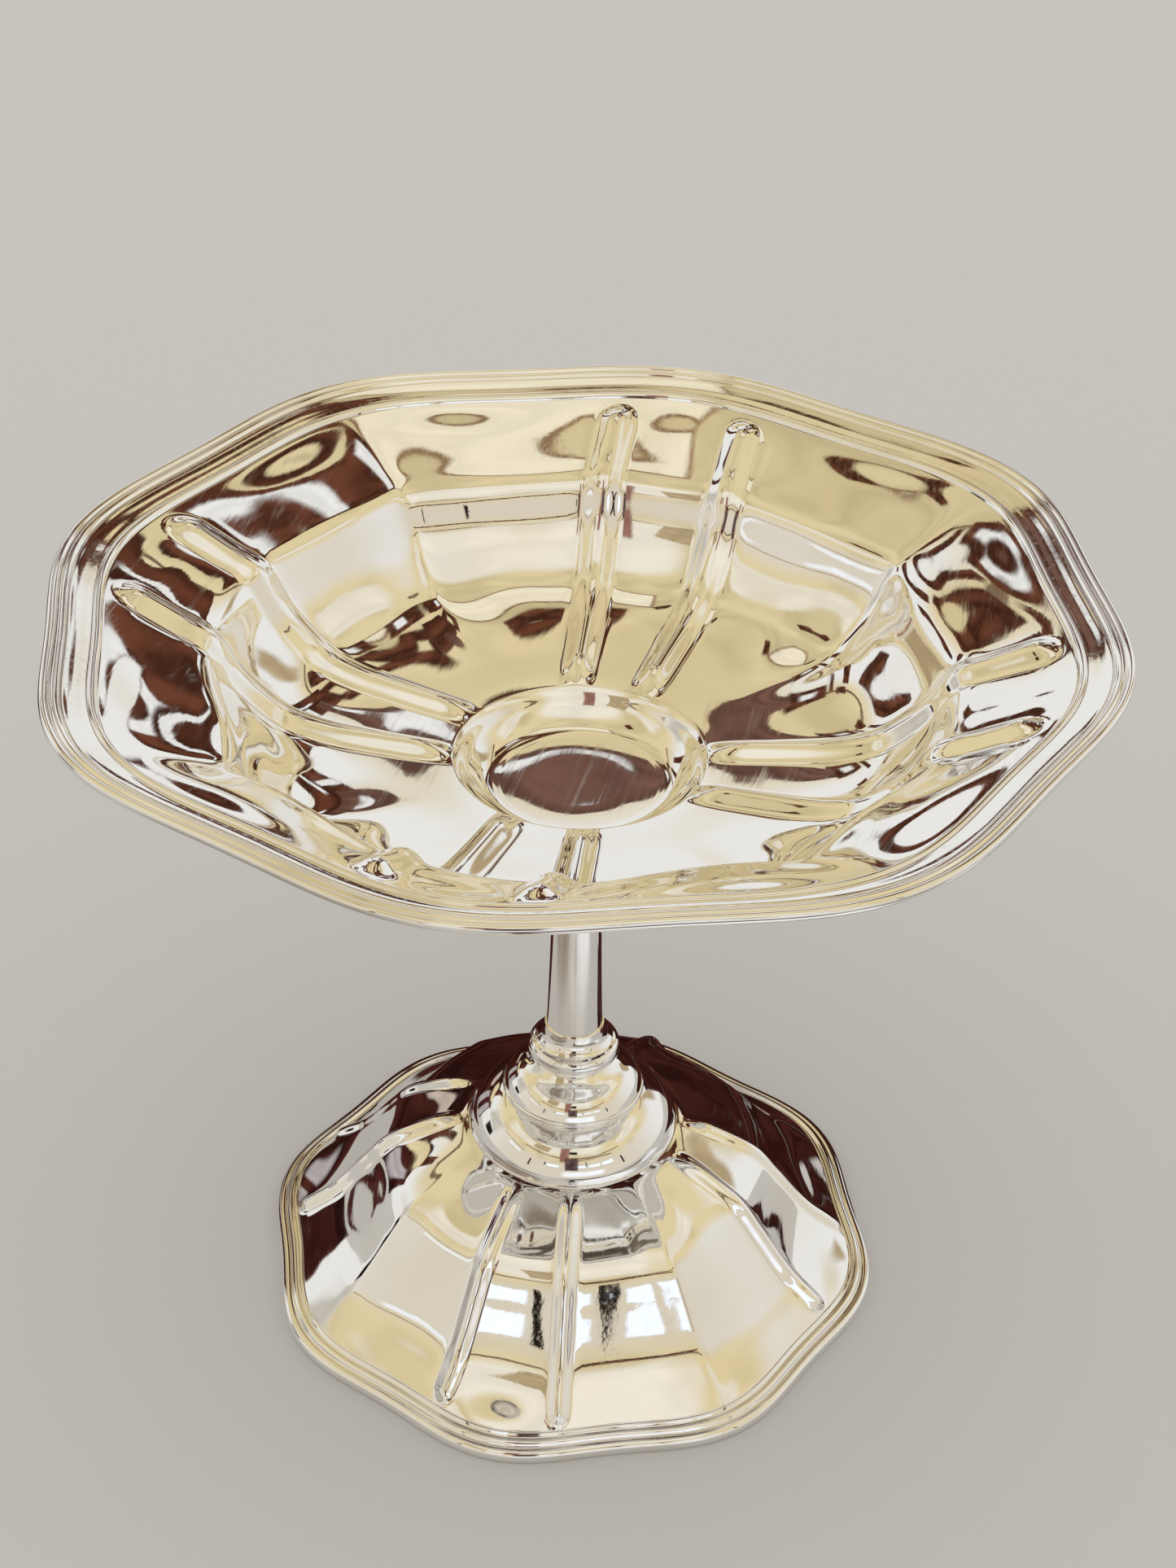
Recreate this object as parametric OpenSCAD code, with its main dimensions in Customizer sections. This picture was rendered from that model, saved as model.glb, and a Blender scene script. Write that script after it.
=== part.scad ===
// Silver-plated pedestal dish: a soft eight-sided dish with a round well, carried on a
// slender tube stem and a domed eight-sided foot. Four of the eight corners carry a
// narrow panel with a raised rib on each side; the other four are plain folds.
// The origin is the middle of the foot at table level, +Z up. The narrow panels
// face +X, +Y, -X and -Y. All sizes are in millimetres.

/* [Dish] */
// Mean radius of the dish over its rim
dish_r = 85; // [80:1:92]
// Height of the rim above the table
dish_h = 137.8; // [125:0.2:150]
// Mean radius of the shoulder where the flange turns down into the bowl
shoulder_r = 60.5; // [58:0.5:62]
// Drop from the rim to the shoulder
shoulder_drop = 10.8; // [9:0.2:12]
// Mean radius at the bottom of the bowl wall
wall_r = 48; // [46:0.5:50]
// Drop from the rim to the bowl floor
bowl_drop = 29.3; // [27:0.1:31]
// Radius of the lip of the round well
well_r = 21; // [19:0.5:23]
// Depth of the well below the bowl floor
well_depth = 5.5; // [4:0.5:7]
// Thickness of the pressed sheet
sheet_t = 1; // [0.8:0.1:1.2]

/* [Rim mount] */
// Width of the applied moulding around the dish
mount_w = 8.6; // [8:0.1:10]

/* [Ribs] */
// Height of the raised ribs on the dish
rib_h = 2; // [1.4:0.1:2.2]
// Half width of a rib
rib_w = 4.4; // [3.6:0.1:4.6]
// Half distance between the two ribs of a panel, at the shoulder
rib_gap = 11.2; // [10:0.2:12]
// How far the wide facets of the dish stand out in their middle
puff = 0.7; // [0:0.1:1]
// How far the wide facets of the foot stand out in their middle
foot_puff = 0.35; // [0:0.05:0.5]
// Height of the ribs on the foot
foot_rib_h = 1.1; // [0.6:0.1:1.4]
// Half width of a rib on the foot
foot_rib_w = 2.3; // [1.8:0.1:2.6]

/* [Foot] */
// Mean radius of the foot over its rim
foot_r = 55; // [53:0.5:60]
// Height of the top of the domed shell
dome_h = 29.5; // [27:0.5:32]
// Radius of the round seat at the top of the dome
seat_r = 18.6; // [18:0.2:20]
// Height of the moulded foot rim
foot_rim_h = 3.6; // [3.2:0.1:4.2]

/* [Stem] */
// Radius of the stem at its waist
stem_r = 4.3; // [4:0.1:5]
// Height of the bottom of the stem
stem_z0 = 52; // [50:0.5:54]
// Radius of the knop
knop_r = 8.1; // [7.6:0.1:9]

/* [Tie rod] */
// Radius of the tie rod
rod_r = 2.5; // [2:0.1:2.5]
// Width of the nut across its flats
nut_af = 8; // [7:0.5:9]

/* [Hidden] */
$fn = 96;

// Heights up the middle of the stack
well_z = dish_h - bowl_drop - well_depth;
boss_z1 = well_z - sheet_t;
boss_h = 3;
collar_h = 4;
stem_z1 = boss_z1 - boss_h - collar_h;
cap_z1 = stem_z0 - 7.7;
plate_t = 2;
plate_z0 = dome_h;
washer_t = 1.6;
nut_h = 4;
rod_end = 2;
rod_clear = 0.25;

// Plan shape: how far the outline swings out at all eight corners, and how much further
// at the four plain ones
dish_swing = 0.0203;
plain_swing = 0.0084;
foot_swing = 0.0234;

// Facets inside the outline, for a mean radius of 1: each wide facet is a chord at
// facet_d whose normal lies facet_a from the panel axis, and the panel a chord at panel_d
facet_d = 0.975;
facet_a = 25.7;
panel_d = 0.99;
fold_soft = 1.2;

// The applied moulding: [distance in from the outline, height from the top of the rim]
edge_in = 1.4;
edge_z = -0.9;
seat_in_z = -2.75;
mount_top = [[8.4, -2.3], [8.1, -1.95], [7.75, -1.82], [7.35, -1.95], [7.05, -2.2], [6.2, -1.95],
             [5.2, -1.65], [4.2, -1.27], [3.5, -0.95], [3.15, -0.95], [2.8, -0.5], [2.2, -0.25],
             [1.6, -0.55], [1.2, -0.15], [0.7, 0], [0.2, -0.25], [0, -0.8], [0.3, -1.4],
             [0.9, -1.85]];

// The moulded foot rim: [distance in from the outline, height above the table]
shell_in = 4;
foot_rim_top = [[3.4, 2.9], [2.8, 3.3], [2.2, 3.1], [1.8, 2.5], [1.3, 2.6], [0.7, 2.5],
                [0.2, 2], [0, 1.3], [0.3, 0.4], [0.8, 0], [3.4, 0]];

// ---- Small functions -------------------------------------------------------------

function mix(a, b, t) = a + (b - a) * t;
function clamp01(t) = max(0, min(1, t));
function step01(a, b, x) = let (t = clamp01((x - a) / (b - a))) t * t * (3 - 2 * t);
function last(v) = len(v) - 1;

// A smooth curve through the points P (Catmull-Rom), with n steps between neighbours
function curve_at(P, i, t) =
    let (a = P[max(i - 1, 0)], b = P[i], c = P[min(i + 1, last(P))], d = P[min(i + 2, last(P))])
    0.5 * (2 * b + (c - a) * t + (2 * a - 5 * b + 4 * c - d) * t * t
           + (3 * b - a - 3 * c + d) * t * t * t);
function curve(P, n) =
    concat([for (i = [0 : last(P) - 1], k = [0 : n - 1]) curve_at(P, i, k / n)], [P[last(P)]]);

// Unit normal of a section line at point i, on its left-hand side going outwards
function line_normal(L, i) =
    let (d = L[min(i + 1, last(L))] - L[max(i - 1, 0)], u = d / norm(d)) [-u[1], u[0]];

// ---- Plan shape ------------------------------------------------------------------

// Soft octagon of mean radius 1 at angle a from a panel axis
function outline(a, swing, plain) = 1 - plain * cos(4 * a) + swing * cos(8 * a);

// Folded facets of mean radius 1, with the plain fold at 45 degrees softened
function from_panel(a) = abs((a + 405) % 90 - 45);
function facets(a) =
    let (q = from_panel(a), off = 45 - q, soft = 45 - sqrt(off * off + fold_soft * fold_soft))
    min(facet_d / cos(soft - facet_a), panel_d / cos(q));

// Ribs of a panel at mean radius r: half distance and half width
rib_end = 75.5;
rib_gap_out = rib_gap + 0.6;
rib_gap_in = 6;
well_share = 0.75;
foot_gap_in = 4.6;
foot_gap_out = 10.2;
function dish_gap(r) =
    r > shoulder_r ? mix(rib_gap, rib_gap_out, (r - shoulder_r) / (rib_end - shoulder_r))
                   : mix(rib_gap_in, rib_gap, (r - well_r) / (shoulder_r - well_r));
function dish_wide(r) = rib_w * mix(well_share, 1, step01(well_r, shoulder_r, r));
function foot_gap(r) = mix(foot_gap_in, foot_gap_out, (r - seat_r) / 30);
function as_angle(w, r) = w / r * 180 / PI;

// Angles of the mesh lines at mean radius r, laid along the ribs: rel is -12 to 12
facet_steps = [0.2, 0.42, 0.64, 0.82, 0.93, 1];
function half_line(j, gap, wide) =
    j <= 2 ? j / 2 * (gap - wide)
  : j <= 6 ? gap + (j - 4) / 2 * wide
  : mix(gap + wide, 45, facet_steps[j - 7]);
function line_angle(j, gap, wide) = sign(j) * half_line(abs(j), gap, wide);

// Relief along mesh line j: the soft swell of a rib, which closes as far as end reaches 1,
// and the pillow of a wide facet, with half as deep a hollow in the panel
function bar(j, end) = pow(cos(90 * min(1, norm([(abs(j) - 4) / 2, end]))), 2);
function pillow(j) =
    let (k = abs(j)) k > 6 ? pow(sin(180 * (k - 6) / 6), 2) : -0.5 * max(0, 1 - k * k / 4);

// One ring of 96 points at section point p, moved down the section normal nrm by drop.
// k is the share of folded facets in the plan and round the share of a plain circle. lift
// is the height of the ribs and swell that of the pillows, raised along the same normal.
function ring(p, nrm, drop, swing, plain, k, round, gap, wide, lift, end, swell) =
    [for (q = [0 : 3], j = [-12 : 11])
        let (a = 90 * q + line_angle(j, gap, wide),
             s = mix(mix(outline(a, swing, plain), facets(a), k), 1, round),
             up = lift * bar(j, end) + swell * pillow(j) - drop,
             r = p[0] * s + nrm[0] * up)
        [r * cos(a), r * sin(a), p[1] + nrm[1] * up]];

// ---- Solids from rings -----------------------------------------------------------

function quads(a, b, n) = [for (i = [0 : n - 1]) let (j = (i + 1) % n)
    each [[a * n + i, a * n + j, b * n + j], [a * n + i, b * n + j, b * n + i]]];

// Rings joined in order; the last joins the first in a hoop, otherwise both are capped
module skin(rings, hoop) {
    n = len(rings[0]);
    m = len(rings);
    sides = [for (i = [0 : m - (hoop ? 1 : 2)]) each quads(i, (i + 1) % m, n)];
    caps = [[for (i = [n - 1 : -1 : 0]) i], [for (i = [0 : n - 1]) (m - 1) * n + i]];
    polyhedron(points = [for (r = rings) each r],
               faces = hoop ? sides : concat(sides, caps), convexity = 10);
}

// ---- Dish ------------------------------------------------------------------------

// Section of the upper surface, from the middle of the well to the edge of the flange
floor_z = dish_h - bowl_drop;
shoulder_z = dish_h - shoulder_drop;
bowl_points = [[13, well_z], [well_r - 5.4, well_z + 0.5], [well_r - 2.6, well_z + 2.6],
               [well_r - 0.6, floor_z - 0.6], [well_r + 1.4, floor_z],
               [mix(well_r, wall_r, 0.4), floor_z + 0.9],
               [mix(well_r, wall_r, 0.75), floor_z + 2.1],
               [wall_r, floor_z + 4.3], [wall_r + 5, floor_z + 8.3],
               [shoulder_r - 4, shoulder_z - 6.2], [shoulder_r - 1.2, shoulder_z - 1.4],
               [shoulder_r + 0.7, shoulder_z + 0.4], [shoulder_r + 4.5, shoulder_z + 2.3],
               [dish_r - mount_w - 4, dish_h + seat_in_z - 1.9],
               [dish_r - mount_w, dish_h + seat_in_z]];
well_middle = [5, well_z];
dish_edge = [dish_r - edge_in, dish_h + edge_z];

mount_r = dish_r - mount_w;

// Plan and relief at mean radius r: the facets fade out towards the mount, the bowl turns
// round towards the well, and ribs and pillows rise from the well and die at the mount
function dish_facets(r) = step01(mount_r, shoulder_r + 2, r);
function dish_round(r) = 1 - step01(well_r + 1, wall_r - 4, r);
function dish_lift(r) = rib_h * step01(well_r - 1, well_r + 6, r);
function dish_swell(r) = puff * step01(well_r + 9, wall_r, r)
                       * (1 - step01(mount_r - 7, mount_r - 0.5, r));
function rib_close(r, stop, wide) = max(0, (r - stop) / wide + 1);
function dish_ring(p, nrm, drop) =
    let (r = max(well_r, min(mount_r, p[0])))
    ring(p, nrm, drop, dish_swing, plain_swing, dish_facets(r), dish_round(r),
         as_angle(dish_gap(r), r), as_angle(dish_wide(r), r), dish_lift(p[0]),
         rib_close(p[0], rib_end, rib_w), dish_swell(p[0]));
function dish_side(steps, drop) =
    let (L = concat([well_middle], curve(bowl_points, steps), [dish_edge]))
    [for (i = [0 : last(L)]) dish_ring(L[i], line_normal(L, i), drop)];
function reversed(v) = [for (i = [last(v) : -1 : 0]) v[i]];

module dish() {
    color("#dcdad2") skin(concat(dish_side(2, 0), reversed(dish_side(1, sheet_t))), false);
}

// Applied moulding soldered on the flange and around its edge
module rim_mount() {
    inner = [mount_r, dish_h + seat_in_z];
    under = dish_side(1, sheet_t);
    rings = concat([dish_ring(inner, [0, 1], 0)],
                   [for (p = mount_top) dish_ring([dish_r - p[0], dish_h + p[1]], [0, 1], 0)],
                   [under[last(under)], dish_ring(dish_edge, [0, 1], 0)]);
    color("#e4e2dc") skin(rings, true);
}

// ---- Foot ------------------------------------------------------------------------

shell_r = foot_r - shell_in;
shell_line = concat([[seat_r - 2.7, dome_h]],
                    curve([[seat_r, dome_h], [21, dome_h - 0.7], [27, 26.1], [33, 22.4],
                           [37, 17.6], [41, 12.4], [44, 9.1], [47.5, 6.3],
                           [shell_r, foot_rim_h]], 2));

// The same on the dome: round at the cap, facets between, and a soft outline at the rim
function foot_facets(r) = step01(shell_r, foot_r - 9, r);
function foot_round(r) = 1 - step01(seat_r, seat_r + 7, r);
function foot_lift(r) = foot_rib_h * step01(seat_r + 1, seat_r + 6, r);
function foot_swell(r) = foot_puff * step01(seat_r + 2, seat_r + 10, r)
                       * (1 - step01(shell_r - 5, shell_r, r));
function foot_ring(p, nrm, drop) =
    let (r = max(seat_r, min(shell_r, p[0])))
    ring(p, nrm, drop, foot_swing, 0, foot_facets(r), foot_round(r),
         as_angle(foot_gap(r), r), as_angle(foot_rib_w, r), foot_lift(p[0]),
         rib_close(p[0], shell_r, foot_rib_w), foot_swell(p[0]));
function shell_side(drop) =
    [for (i = [0 : last(shell_line)]) foot_ring(shell_line[i], line_normal(shell_line, i), drop)];

// Pressed dome of the foot, open in the middle under the cap
module foot_shell() {
    color("#d4d0c6") skin(concat(shell_side(0), reversed(shell_side(sheet_t))), true);
}

// Moulded wire soldered around the edge of the foot
module foot_rim() {
    edge = shell_side(0);
    under = shell_side(sheet_t);
    rings = concat([edge[last(edge)]],
                   [for (p = foot_rim_top) foot_ring([foot_r - p[0], p[1]], [0, 1], 0)],
                   [under[last(under)]]);
    color("#e4e2dc") skin(rings, true);
}

// ---- Turned pieces ---------------------------------------------------------------

// A turned solid from a smooth outer line [radius, height] down to its bore
module turned(outer, bore) {
    rotate_extrude()
        polygon(concat([[bore, outer[0][1]]], outer, [[bore, outer[last(outer)][1]]]));
}

// Half-round bulge from height a to b, standing out by w from radius r
function bulge(r, w, a, b) =
    [for (i = [0 : 8]) let (t = 22.5 * i) [r + w * sin(t), mix(a, b, (1 - cos(t)) / 2)]];

// Stepped cap over the middle of the foot, with a plate that takes the tie rod
module foot_cap() {
    step_z = cap_z1 - 6.8;
    step_r = 12;
    outer = concat([[seat_r - 0.4, dome_h], [seat_r, dome_h + 0.4]],
                   curve([[seat_r, dome_h + 0.5], [seat_r - 0.4, dome_h + 1.9],
                          [seat_r - 1.4, dome_h + 3.8], [seat_r - 3.2, dome_h + 5.9],
                          [step_r + 1.3, step_z - 0.6], [step_r, step_z]], 3),
                   bulge(step_r + 0.1, 0.5, step_z + 0.1, step_z + 1.3),
                   curve([[step_r + 0.2, step_z + 1.4], [step_r - 0.6, step_z + 2.9],
                          [step_r - 2, cap_z1 - 2.4], [knop_r + 0.1, cap_z1 - 1.2],
                          [knop_r - 1.2, cap_z1]], 3));
    inner_r = seat_r - 3.2;
    color("#dedcd4") difference() {
        turned(outer, rod_r + rod_clear);
        translate([0, 0, dome_h + plate_t])
            cylinder(r1 = inner_r, r2 = step_r - 4, h = step_z - dome_h - plate_t);
    }
}

// Turned knop between the cap and the stem, with a flare up to the tube
module stem_knop() {
    neck = knop_r - 1.2;
    outer = concat([[neck - 0.2, cap_z1], [neck - 0.1, cap_z1 + 0.5]],
                   bulge(neck, 1.2, cap_z1 + 0.6, cap_z1 + 4.2),
                   curve([[neck - 0.3, cap_z1 + 4.4], [stem_r + 1.6, cap_z1 + 5.2],
                          [stem_r + 1.1, cap_z1 + 6.4], [stem_r + 0.9, stem_z0]], 3));
    color("#e0ded8") turned(outer, rod_r + rod_clear);
}

// Slender tube stem, waisted in its upper half and flared to meet the dish
module stem() {
    height = stem_z1 - stem_z0;
    outer = curve([[stem_r + 0.6, stem_z0], [stem_r + 0.4, stem_z0 + height * 0.12],
                   [stem_r + 0.1, stem_z0 + height * 0.4], [stem_r, stem_z0 + height * 0.62],
                   [stem_r + 0.4, stem_z0 + height * 0.8], [stem_r + 1.5, stem_z0 + height * 0.93],
                   [stem_r + 2.9, stem_z1]], 4);
    color("#dad8d2") turned(outer, rod_r + rod_clear + 0.4);
}

// Collar between the stem and the boss
module stem_collar() {
    outer = concat([[stem_r + 3, stem_z1]],
                   bulge(stem_r + 3, 1.3, stem_z1 + 0.3, stem_z1 + collar_h - 0.6),
                   [[stem_r + 3.2, stem_z1 + collar_h]]);
    color("#e0ded8") turned(outer, rod_r + rod_clear);
}

// Boss soldered under the well, threaded for the tie rod
module dish_boss() {
    color("#c8c4b8") difference() {
        translate([0, 0, boss_z1 - boss_h]) cylinder(r = stem_r + 7, h = boss_h);
        translate([0, 0, boss_z1 - boss_h - 1]) cylinder(r = rod_r, h = boss_h + 0.4);
    }
}

module tie_rod() {
    color("#a8a498") translate([0, 0, plate_z0 - washer_t - nut_h - rod_end])
        cylinder(r = rod_r, h = boss_z1 - 0.6 - (plate_z0 - washer_t - nut_h - rod_end));
}

module foot_washer() {
    color("#b8a878") translate([0, 0, plate_z0 - washer_t]) difference() {
        cylinder(r = 8, h = washer_t);
        translate([0, 0, -1]) cylinder(r = rod_r + rod_clear, h = washer_t + 2);
    }
}

module tie_nut() {
    color("#b8a878") translate([0, 0, plate_z0 - washer_t - nut_h]) difference() {
        cylinder(r = nut_af / sqrt(3), h = nut_h, $fn = 6);
        translate([0, 0, -1]) cylinder(r = rod_r, h = nut_h + 2);
    }
}

dish();
rim_mount();
dish_boss();
stem_collar();
stem();
stem_knop();
foot_cap();
foot_shell();
foot_rim();
foot_washer();
tie_rod();
tie_nut();
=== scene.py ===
import math

import bmesh
import bpy
import numpy as np
from mathutils import Matrix, Vector


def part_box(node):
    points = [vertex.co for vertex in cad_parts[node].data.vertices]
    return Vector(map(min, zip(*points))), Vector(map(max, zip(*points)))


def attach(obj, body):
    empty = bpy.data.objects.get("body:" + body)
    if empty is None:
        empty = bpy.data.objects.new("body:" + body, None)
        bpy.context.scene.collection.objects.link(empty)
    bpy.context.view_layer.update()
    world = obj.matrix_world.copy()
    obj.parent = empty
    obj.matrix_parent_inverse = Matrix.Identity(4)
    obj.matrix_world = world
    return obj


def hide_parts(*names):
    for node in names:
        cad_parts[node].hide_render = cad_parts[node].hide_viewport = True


# A silver-plated pedestal dish. The pressed shells, rims and turned pieces are built again
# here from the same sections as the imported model, with many more points, and each one
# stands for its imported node. The pieces are measured in millimetres, which MM turns into
# metres, and the studio around them in metres.

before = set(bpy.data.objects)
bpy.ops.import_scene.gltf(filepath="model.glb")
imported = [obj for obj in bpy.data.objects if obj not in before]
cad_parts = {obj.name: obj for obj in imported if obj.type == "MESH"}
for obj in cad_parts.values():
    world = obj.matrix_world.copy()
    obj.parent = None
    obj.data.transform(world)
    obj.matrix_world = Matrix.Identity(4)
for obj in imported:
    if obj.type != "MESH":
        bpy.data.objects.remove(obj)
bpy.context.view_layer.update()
MM = 0.001

# ---- Sizes -----------------------------------------------------------------------

SWING = 0.0203                  # how far the dish outline swings out at its eight corners
PLAIN_SWING = 0.0084            # and how much further at the four plain ones
FOOT_SWING = 0.0234
DISH_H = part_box("rim_mount")[1].z / MM
DISH_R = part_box("rim_mount")[1].x / MM / (1 - PLAIN_SWING + SWING)
FOOT_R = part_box("foot_rim")[1].x / MM / (1 + FOOT_SWING)
FOOT_RIM_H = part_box("foot_rim")[1].z / MM
DOME_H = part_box("foot_shell")[1].z / MM
SEAT_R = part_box("foot_cap")[1].x / MM
SHEET_T = 1.0                   # thickness of the pressed sheet
WELL_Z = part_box("dish")[0].z / MM + SHEET_T
MOUNT_W = 8.6                   # width of the applied rim moulding
EDGE_IN = 1.4                   # the dish's edge: distance in from the outline
EDGE_Z = -0.9                   # and height from the top of the rim
SEAT_IN_Z = -2.75               # the sheet's height from there where the moulding begins
SHELL_IN = 4.0                  # width of the foot's moulded rim
SHOULDER_R = 60.5               # where the wall of the bowl turns into the flange
SHOULDER_Z = DISH_H - 10.8
WALL_R = 48.0                   # where the floor of the bowl turns up into its wall
WELL_R = 21.0                   # where the floor drops into the well
FLOOR_Z = WELL_Z + 5.5
RIB_H = 2.0
RIB_W = 4.4                     # half width of a rib, and the length of its rounded end
RIB_END = 75.5                  # where the ribs end on the flange
RIB_GAP = 11.2                  # half distance between two ribs, at the shoulder
RIB_GAP_OUT = 11.8              # and at their outer ends
RIB_GAP_IN = 6.0                # and at the well
FOOT_RIB_H = 1.1
FOOT_RIB_W = 2.3
FOOT_GAP_IN = 4.6               # half distance between two ribs of the foot, at the seat
FOOT_GAP_OUT = 10.2             # and FOOT_GAP_RUN further out
FOOT_GAP_RUN = 30
FOLD_SOFT = 1.2                 # degrees over which the plain folds are rounded
PUFF = 0.7                      # how far the wide facets stand out between rib and fold
FOOT_PUFF = 0.35
FACET_D = 0.975                 # distance of the wide facets, as a share of the mean radius
FACET_A = 25.7                  # degrees from the middle of a panel to that of a wide facet
PANEL_D = 0.99                  # distance of the narrow panels, as a share of the mean radius

# Section of the dish from the middle of the well to the applied rim: [radius, height]
BOWL = [[13, WELL_Z], [WELL_R - 5.4, WELL_Z + 0.5], [WELL_R - 2.6, WELL_Z + 2.6],
        [WELL_R - 0.6, FLOOR_Z - 0.6], [WELL_R + 1.4, FLOOR_Z],
        [WELL_R + 0.4 * (WALL_R - WELL_R), FLOOR_Z + 0.9],
        [WELL_R + 0.75 * (WALL_R - WELL_R), FLOOR_Z + 2.1],
        [WALL_R, FLOOR_Z + 4.3], [WALL_R + 5, FLOOR_Z + 8.3],
        [SHOULDER_R - 4, SHOULDER_Z - 6.2], [SHOULDER_R - 1.2, SHOULDER_Z - 1.4],
        [SHOULDER_R + 0.7, SHOULDER_Z + 0.4], [SHOULDER_R + 4.5, SHOULDER_Z + 2.3],
        [DISH_R - MOUNT_W - 4, DISH_H + SEAT_IN_Z - 1.9],
        [DISH_R - MOUNT_W, DISH_H + SEAT_IN_Z]]
DISH_EDGE = [DISH_R - EDGE_IN, DISH_H + EDGE_Z]

# The applied moulding: [distance in from the outline, height from the top of the rim]
MOUNT = [[8.6, -2.75], [8.4, -2.3], [8.1, -1.95], [7.75, -1.82], [7.35, -1.95], [7.05, -2.2],
         [6.2, -1.95], [5.2, -1.65], [4.2, -1.27], [3.5, -0.95], [3.15, -0.95], [2.8, -0.5],
         [2.2, -0.25], [1.6, -0.55], [1.2, -0.15], [0.7, 0], [0.2, -0.25], [0, -0.8],
         [0.3, -1.4], [0.9, -1.85], [1.4, -1.9]]

# Section of the foot's dome and of its moulded rim
DOME = [[SEAT_R, DOME_H], [21, DOME_H - 0.7], [27, 26.1], [33, 22.4], [37, 17.6], [41, 12.4],
        [44, 9.1], [47.5, 6.3], [FOOT_R - SHELL_IN, FOOT_RIM_H]]
FOOT_RIM = [[4, 3.6], [3.4, 2.9], [2.8, 3.3], [2.2, 3.1], [1.8, 2.5], [1.3, 2.6], [0.7, 2.5],
            [0.2, 2], [0, 1.3], [0.3, 0.4], [0.8, 0], [3.4, 0], [4, 2.6]]

QUARTER = 24                    # steps in a quarter turn, counted from the middle of a panel
CREST = 4                       # the step where the crest of a rib lies
FLANK = 2                       # steps from the crest to either side of the rib
EASE = 0.35                     # how much closer the steps get towards the fold
AROUND = 96                     # mesh lines in a quarter turn
STEPS = 8                       # mesh lines between two points of a section
TURNED = 256                    # mesh lines around a turned piece


# ---- Shape functions -------------------------------------------------------------

def step01(a, b, x):
    """A smooth step from 0 at x = a to 1 at x = b."""
    t = np.clip((np.asarray(x, float) - a) / (b - a), 0, 1)
    return t * t * (3 - 2 * t)


def curve(points, n):
    """A smooth line through the points (Catmull-Rom), with n steps between neighbours."""
    p = np.asarray(points, float)
    p = np.vstack([p[:1], p, p[-1:]])
    t = np.arange(n)[:, None] / n
    out = []
    for a, b, c, d in zip(p[:-3], p[1:-2], p[2:-1], p[3:]):
        out.append(0.5 * (2 * b + (c - a) * t + (2 * a - 5 * b + 4 * c - d) * t * t
                          + (3 * b - a - 3 * c + d) * t ** 3))
    return np.vstack(out + [p[-1:]])


def normals(line):
    """Unit normals of a section line, on its left-hand side going outwards."""
    d = np.gradient(line, axis=0)
    d /= np.linalg.norm(d, axis=1)[:, None]
    return np.stack([-d[:, 1], d[:, 0]], 1)


def outline(a, swing, plain):
    """The curved outline of the rims, as a share of the mean radius."""
    return 1 - plain * np.cos(4 * a) + swing * np.cos(8 * a)


def facets(a):
    """The faceted outline of bowl and dome, as a share of the mean radius."""
    q = np.degrees(np.abs((a + math.tau + math.pi / 4) % (math.pi / 2) - math.pi / 4))
    soft = 45 - np.sqrt((45 - q) ** 2 + FOLD_SOFT ** 2)
    return np.minimum(FACET_D / np.cos(np.radians(soft - FACET_A)),
                      PANEL_D / np.cos(np.radians(q)))


def line_angles(gap, wide):
    """Angles of the mesh lines over a quarter turn, laid along the two ribs of its panel.

    Each line also gets how far it is off the crest of its rib, in half widths of the rib,
    and its place on the puffed wide facet and on the narrow panel, which is 1 in the middle
    and 0 at the sides."""
    j = np.arange(-AROUND // 2, AROUND // 2) * (QUARTER / AROUND)
    k = np.abs(j)
    off = (k - CREST) / FLANK
    f = (k - CREST - FLANK) / (QUARTER / 2 - CREST - FLANK)
    inside = k / (CREST - FLANK)
    far = gap + wide + (45 - gap - wide) * f * (1 + EASE - EASE * f)
    half = np.where(inside <= 1, inside * (gap - wide), np.where(off <= 1, gap + off * wide, far))
    pillow = np.sin(np.pi * np.clip(f, 0, 1)) ** 2
    panel = np.clip(1 - inside ** 2, 0, 1)
    return np.radians(np.sign(j) * half), off, pillow, panel


def rings(line, nrm, drop, spec):
    """The grid of points for a section line: one ring of 4 * AROUND points for each point.

    drop lays the grid below the line, as for the underside of the sheet."""
    out = []
    for (r, z), (nr, nz) in zip(line, nrm):
        swing, plain, folded, rounded, gap, wide, lift, end, puff = spec(r)
        angle, off, pillow, panel = line_angles(math.degrees(gap), math.degrees(wide))
        a = np.concatenate([angle + q * math.pi / 2 for q in range(4)])
        bar = np.cos(math.pi / 2 * np.clip(np.hypot(off, end), 0, 1)) ** 2
        up = np.tile(lift * bar + puff * (pillow - 0.5 * panel), 4) - drop
        s = outline(a, swing, plain) * (1 - folded) + facets(a) * folded
        s = s * (1 - rounded) + rounded
        rr = r * s + nr * up
        out.append(np.stack([rr * np.cos(a), rr * np.sin(a), z + nz * up], 1))
    return out


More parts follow.
